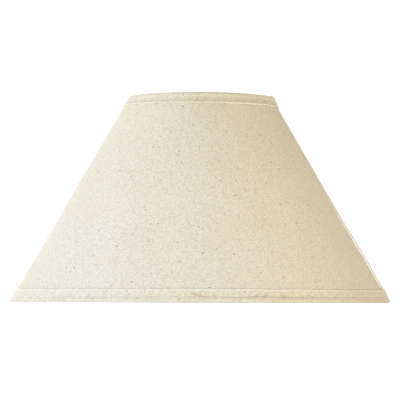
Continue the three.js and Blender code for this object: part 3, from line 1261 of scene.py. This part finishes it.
@dataclass
class SpiderFitter:
    """The washer that sits on a harp, and the three bent wires that hold it under the top ring.

    Attributes:
        arms: how many arms.
        first: azimuth of the first arm.
        hole: radius of the washer's hole.
        bevel: rounding of the washer's stamped edge.
        bite: how far an arm's end reaches into the washer's edge.
        straight: length of an arm's level part at each end.
        slit: size of the cut in the trim that an arm comes through, inward, along the rim and up.
    """

    arms: int = 3
    first: float = math.radians(90.0)
    hole: float = 5.5 * MM
    bevel: float = 0.25 * MM
    bite: float = 1.4 * MM
    straight: float = 6.0 * MM
    slit: tuple[float, float, float] = (6.0 * MM, 4.2 * MM, 5.0 * MM)

    def azimuth(self, index: int) -> float:
        """Returns one arm's azimuth."""
        return self.first + 2.0 * math.pi * index / self.arms

    def washer_size(self) -> tuple[float, float, float]:
        """Returns the washer's radius, its thickness and the height of its middle."""
        low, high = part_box("fitter_washer")
        return (high[1] - low[1]) / 2.0, high[2] - low[2], (low[2] + high[2]) / 2.0

    def washer(self, material: Material) -> Piece:
        """Stamps the washer from a disc: inset, pierced and bevelled.

        Args:
            material: the brass.

        Returns:
            The washer.
        """
        radius, thickness, height = self.washer_size()
        deselect_all()
        bpy.ops.mesh.primitive_cylinder_add(
            vertices=96, radius=radius, depth=thickness, location=(0.0, 0.0, height)
        )
        piece = bpy.context.object
        piece.name = "harp_washer"
        place_in_mesh(piece)
        bpy.ops.object.mode_set(mode="EDIT")
        bpy.ops.mesh.select_mode(type="FACE")
        bpy.ops.mesh.select_all(action="DESELECT")
        bpy.ops.object.mode_set(mode="OBJECT")
        for face in piece.data.polygons:
            face.select = abs(face.normal.z) > 0.9
        bpy.ops.object.mode_set(mode="EDIT")
        bpy.ops.mesh.inset(thickness=radius - self.hole, use_individual=True)
        bpy.ops.mesh.bridge_edge_loops()
        bpy.ops.mesh.select_all(action="SELECT")
        bpy.ops.mesh.normals_make_consistent(inside=False)
        bpy.ops.object.mode_set(mode="OBJECT")
        round_edges(piece, self.bevel, 3)
        soften(piece, 35.0)
        return dress(piece, material, "brass_plate", "fitter_washer")

    def route(self) -> list[Vector]:
        """Traces an arm along +X: level off the washer, up in a long S, and level into the ring.

        Returns:
            The arm's centre line.
        """
        edge, _, below = self.washer_size()
        start = edge - self.bite
        radius, above = ring_circle("top_ring", WIRE)
        stop = radius - WIRE + 0.1 * MM
        line = [Vector((start, 0.0, below))]
        steps = 36
        for i in range(steps + 1):
            t = i / steps
            across = start + self.straight + (stop - start - 2.0 * self.straight) * t
            line.append(Vector((across, 0.0, below + (above - below) * float(smooth(t)))))
        line.append(Vector((stop, 0.0, above)))
        return line

    def stations(self) -> list[tuple[Vector, float, float]]:
        """Steps along an arm, closely at its two weld beads.

        Returns:
            Centre, lean and swell of each station.
        """
        line = self.route()
        close = [Vector((offset * MM, 0.0, 0.0)) for offset in (0.15, 0.45, 0.85, 1.3, 1.9, 2.7, 3.8)]
        head = [line[0] + offset for offset in close]
        tail = [line[-1] - offset for offset in reversed(close)]
        line = [line[0]] + head + line[1:-1] + tail + [line[-1]]
        found = []
        for i, centre in enumerate(line):
            ahead = line[min(i + 1, len(line) - 1)] - line[max(i - 1, 0)]
            from_end = min((centre - line[0]).length, (line[-1] - centre).length)
            found.append((centre, math.atan2(ahead.z, ahead.x), self.weld_swell(from_end)))
        return found

    def weld_swell(self, from_end: float) -> float:
        """Returns how much the weld thickens the wire near an end, and rounds the end itself off."""
        bead = 1.0 + 0.24 * float(hill(np.array(from_end), 1.4 * MM, 1.2 * MM))
        short = max(0.0, 1.0 - from_end / (1.3 * MM))
        return bead * math.sqrt(1.0 - 0.8 * short**2)

    def drawn(self) -> Piece:
        """Draws the first arm along +X out of a disc of wire, bends it, and beads both of its ends.

        Returns:
            The arm.
        """
        stations = self.stations()
        centre, lean, swell = stations[0]
        deselect_all()
        bpy.ops.mesh.primitive_circle_add(
            vertices=20,
            radius=WIRE * swell,
            fill_type="NGON",
            location=centre,
            rotation=(0.0, math.pi / 2.0, 0.0),
        )
        piece = bpy.context.object
        place_in_mesh(piece)
        bpy.ops.object.mode_set(mode="EDIT")
        bpy.ops.mesh.select_mode(type="FACE")
        bpy.ops.mesh.select_all(action="SELECT")
        for after, tilt, thick in stations[1:]:
            bpy.ops.mesh.extrude_region_move(TRANSFORM_OT_translate={"value": after - centre})
            bpy.ops.transform.rotate(value=tilt - lean, orient_axis="Y", center_override=after)
            bpy.ops.transform.resize(value=(thick / swell,) * 3, center_override=after)
            centre, lean, swell = after, tilt, thick
        bpy.ops.mesh.select_all(action="SELECT")
        bpy.ops.mesh.remove_doubles(threshold=0.001 * MM)
        bpy.ops.mesh.normals_make_consistent(inside=False)
        bpy.ops.object.mode_set(mode="OBJECT")
        return piece

    def all_arms(self, material: Material) -> list[Piece]:
        """Copies one arm round to every arm's place.

        Args:
            material: the brass.

        Returns:
            The arms.
        """
        pieces = [self.drawn()]
        for _ in range(1, self.arms):
            copy = pieces[0].copy()
            copy.data = pieces[0].data.copy()
            bpy.context.scene.collection.objects.link(copy)
            pieces.append(copy)
        for index, piece in enumerate(pieces):
            piece.name = f"fitter_arm_{index + 1}"
            piece.rotation_euler = (0.0, 0.0, self.azimuth(index))
            place_in_mesh(piece)
            soften(piece, 45.0)
            dress(piece, material, "brass_plate", f"spider_arm_{index + 1}")
        return pieces

    def slits(self) -> list[Piece]:
        """Makes the cutters for the slits through which the arms reach the ring.

        Returns:
            One cutter for each arm.
        """
        radius, height = ring_circle("top_ring", WIRE)
        cutters = []
        for index in range(self.arms):
            deselect_all()
            bpy.ops.mesh.primitive_cube_add(size=1.0, location=(radius - 4.5 * MM, 0.0, height - 0.6 * MM))
            cutter = bpy.context.object
            cutter.scale = self.slit
            place_in_mesh(cutter)
            round_edges(cutter, 1.2 * MM, 4)
            cutter.rotation_euler = (0.0, 0.0, self.azimuth(index))
            place_in_mesh(cutter)
            cutters.append(cutter)
        return cutters


# --- The studio ---


@dataclass(frozen=True)
class StudioLight:
    """A light round the shade.

    Attributes:
        name: the light's name.
        azimuth: where it stands, in degrees.
        strength: its light, as red, green and blue.
    """

    name: str
    azimuth: float
    strength: tuple[float, float, float]

    def lamp(self, kind: str) -> Piece:
        """Makes the lamp.

        Args:
            kind: the lamp's type.

        Returns:
            The lamp, with its power and its colour.
        """
        data = bpy.data.lights.new(self.name, kind)
        data.energy = max(self.strength)
        data.color = [part / data.energy for part in self.strength]
        lamp = bpy.data.objects.new(self.name, data)
        bpy.context.scene.collection.objects.link(lamp)
        return lamp

    def towards(self, elevation: float = 0.0) -> Vector:
        """Returns the direction of the light from the shade, at an elevation in degrees."""
        azimuth, up = math.radians(self.azimuth), math.radians(elevation)
        return Vector((math.cos(azimuth) * math.cos(up), math.sin(azimuth) * math.cos(up), math.sin(up)))


@dataclass(frozen=True)
class SoftLight(StudioLight):
    """A large soft light, far away.

    Attributes:
        elevation: how high it stands, in degrees.
        spread: how wide it looks from the object, in degrees.
        distance: where it hangs, which changes nothing in its light.
    """

    elevation: float = 6.0
    spread: float = 60.0
    distance: float = 8.0

    def build(self) -> None:
        """Hangs the light."""
        lamp = self.lamp("SUN")
        lamp.data.angle = math.radians(self.spread)
        towards = self.towards(self.elevation)
        lamp.rotation_euler = towards.to_track_quat("Z", "Y").to_euler()
        lamp.location = towards * self.distance


@dataclass(frozen=True)
class LowPanel(StudioLight):
    """A small lit card that stands on the floor close to the shade and lightens its lower half.

    Attributes:
        distance: from the shade's axis.
        height: of its middle, and of the point on the axis that it faces.
        size: width and height.
    """

    distance: float = 0.75
    height: float = 0.06
    size: tuple[float, float] = (0.5, 0.1)

    def build(self) -> None:
        """Stands the card, out of the camera's sight."""
        card = self.lamp("AREA")
        card.data.shape = "RECTANGLE"
        card.data.size, card.data.size_y = self.size
        card.location = self.towards() * self.distance + Vector((0.0, 0.0, self.height))
        card.rotation_euler = self.towards().to_track_quat("Z", "Y").to_euler()
        card.visible_camera = False


LIGHTS = (
    # A cool window on the left, with weak warm panels round to the right.
    SoftLight("cool_window", 175.0, (2.62, 2.85, 3.20)),
    SoftLight("front_panel", 235.0, (0.67, 0.68, 0.45)),
    SoftLight("warm_panel", 288.0, (0.52, 0.37, 0.02)),
    SoftLight("warm_side_panel", 342.0, (0.38, 0.14, 0.01)),
    SoftLight("back_panel", 90.0, (1.50, 1.48, 1.42), elevation=25.0, spread=40.0),
    # Low cards in front, from left to right.
    LowPanel("low_card_left", 220.0, (0.24, 0.50, 1.60)),
    LowPanel("low_card_front", 255.0, (0.10, 0.24, 0.60)),
    LowPanel("low_card_middle", 290.0, (1.00, 1.12, 1.35)),
    LowPanel("low_card_right", 325.0, (0.42, 0.45, 0.54)),
)


@dataclass
class Studio:
    """A pale floor, a white surround, soft lights and the camera.

    Attributes:
        distance: from the shade's axis to the camera.
        eye_height: the camera's height above the floor.
        aim_height: height on the axis that the camera points at.
        aim_side: how far to one side of the axis the camera points.
        lens: focal length, in millimetres.
        roll: the camera's roll, in degrees.
        ambient: the surround's light on the object.
        backdrop: the surround's light as the camera sees it, bright enough to stay plain white.
        floor_glow: light of the floor's own, which keeps it white.
        floor_width: width of the floor.
    """

    distance: float = 2.6
    eye_height: float = 0.004
    aim_height: float = 0.1104
    aim_side: float = 0.0002
    lens: float = 217.4
    roll: float = 0.21
    ambient: float = 0.27
    backdrop: float = 1.1
    floor_glow: float = 0.5
    floor_width: float = 40.0

    def floor(self) -> None:
        """Lays the pale floor."""
        deselect_all()
        bpy.ops.mesh.primitive_plane_add(size=self.floor_width, location=(0.0, 0.0, 0.0))
        ground = bpy.context.object
        ground.name = "studio_floor"
        material = FLOOR_PAPER.build()
        shader = material.node_tree.nodes["Principled BSDF"]
        glow = {"Emission Color": linear_rgb("#FFFFFF"), "Emission Strength": self.floor_glow}
        feed(material.node_tree, shader, glow)
        ground.data.materials.append(material)

    def surround(self) -> None:
        """Fills the surround: plain white behind the object, and an even light on it."""
        world = bpy.data.worlds.new("studio_surround")
        world.use_nodes = True
        tree = world.node_tree
        tree.nodes.clear()
        seen = add_node(tree, "ShaderNodeLightPath").outputs["Is Camera Ray"]
        shades = []
        for shade, strength in ((1.0, self.backdrop), (self.ambient, 1.0)):
            inputs = {"Color": (shade, shade, shade, 1.0), "Strength": strength}
            shades.append(add_node(tree, "ShaderNodeBackground", inputs).outputs[0])
        white, light = shades
        both = add_node(tree, "ShaderNodeMixShader", {0: seen, 1: light, 2: white})
        add_node(tree, "ShaderNodeOutputWorld", {"Surface": both.outputs[0]})
        bpy.context.scene.world = world

    def camera(self) -> None:
        """Stands the camera level with the floor, looking slightly up."""
        data = bpy.data.cameras.new("studio_camera")
        data.lens = self.lens
        data.sensor_width = 36.0
        data.clip_end = 100.0
        eye = bpy.data.objects.new("studio_camera", data)
        eye.location = (0.0, -self.distance, self.eye_height)
        towards = Vector((self.aim_side, 0.0, self.aim_height)) - Vector(eye.location)
        turn = towards.to_track_quat("-Z", "Y").to_matrix().to_4x4()
        roll = Quaternion((0.0, 0.0, 1.0), math.radians(self.roll))
        eye.rotation_euler = (turn.to_quaternion() @ roll).to_euler()
        bpy.context.scene.collection.objects.link(eye)
        bpy.context.scene.camera = eye

    def build(self) -> None:
        """Sets up the whole studio."""
        self.floor()
        self.surround()
        for light in LIGHTS:
            light.build()
        self.camera()
        bpy.context.scene.view_settings.view_transform = "Standard"


# --- The shade ---


def main() -> None:
    """Builds the shade and its studio."""
    logging.basicConfig(level=logging.INFO, format="%(message)s")
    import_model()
    cone = Cone.round_rings(WIRE, face_gap=2.9 * MM, rim_gap=1.95 * MM)
    lap = Lap()
    panel_linen, bias_linen = PANEL_LINEN.build(), BIAS_LINEN.build()
    steel, brass = DRAWN_STEEL.build(), BRASS.build()

    side = WrappedSide(cone, lap)
    cover = side.cover(panel_linen)
    side.declare(cover)
    log.info("linen_cover: %d faces", len(cover.data.polygons))
    log.info("styrene_liner: %d faces", len(side.liner(STYRENE.build()).data.polygons))
    log.info("lap_tape: %d faces", len(side.lap_tape(TAPE.build()).data.polygons))

    fitter = SpiderFitter()
    top = RimTrim(
        Rim.TOP,
        cone,
        lap,
        TOP_OUTLINE,
        band=12.4 * MM,
        end=TrimEnd(math.radians(-29.0), math.radians(34.0), math.radians(16.0), 0.85 * MM),
        waves=(
            (1, 0.50 * MM, math.pi / 2.0),
            (2, 0.35 * MM, -math.pi / 2.0),
            (3, 0.12 * MM, 0.5),
            (7, 0.14 * MM, 2.2),
            (16, 0.07 * MM, 1.1),
        ),
        stations=360,
    )
    bottom = RimTrim(
        Rim.BOTTOM,
        cone,
        lap,
        BOTTOM_OUTLINE,
        band=16.0 * MM,
        end=TrimEnd(math.radians(62.0), math.radians(5.0), math.radians(5.0), 0.55 * MM),
        waves=((4, 0.14 * MM, 0.9), (11, 0.16 * MM, 0.2), (25, 0.12 * MM, 2.9), (47, 0.06 * MM, 5.0)),
        stations=480,
    )
    for trim, slits in ((top, fitter.slits()), (bottom, [])):
        piece = trim.build(bias_linen, slits)
        trim.declare(piece)
        log.info("%s: %d faces", piece.name, len(piece.data.polygons))

    for node in ("top_ring", "bottom_ring"):
        log.info("%s: %d faces", node, len(WireRing(node).build(steel).data.polygons))
    log.info("fitter_washer: %d faces", len(fitter.washer(brass).data.polygons))
    for arm in fitter.all_arms(brass):
        log.info("%s: %d faces", arm.name, len(arm.data.polygons))

    Studio().build()


if __name__ == "__main__":
    main()
